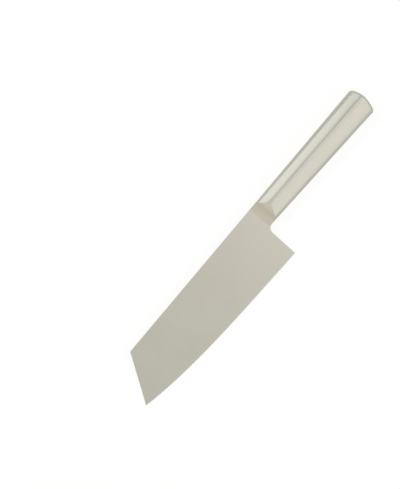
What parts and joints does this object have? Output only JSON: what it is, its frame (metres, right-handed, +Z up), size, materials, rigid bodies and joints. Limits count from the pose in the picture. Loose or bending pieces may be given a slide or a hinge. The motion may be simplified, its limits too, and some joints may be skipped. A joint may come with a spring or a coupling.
{
  "type": "kitchen knife",
  "caption": "All-steel kitchen knife with a clipped point, a straight spine, a scooped bolster and a hollow ridged handle.",
  "frame": {"origin": "middle of the bounding box's footprint, on the table that the knife lies on", "axes": "+X from the point to the butt, +Y from the cutting edge to the spine, +Z up; the knife lies on its right side with its left side up, so its middle plane leans 8.5 degrees about X, edge down, and 0.7 degrees about Y"},
  "size_m": [0.3361, 0.0558, 0.0185],
  "materials": {
    "blade_steel": "fine satin, ground lengthwise, with bright cutting bevels",
    "bolster_steel": "satin, ground flush with blade and shells",
    "handle_steel": "fine satin, brushed lengthwise",
    "weight_steel": "plain mill finish, sealed inside"
  },
  "bodies": {
    "root": {"blade": "blade_steel", "bolster": "bolster_steel", "handle_shell_left": "handle_steel", "handle_shell_right": "handle_steel", "butt_cap": "handle_steel", "balance_weight": "weight_steel", "tang_pins": "weight_steel"}
  },
  "joints": []
}
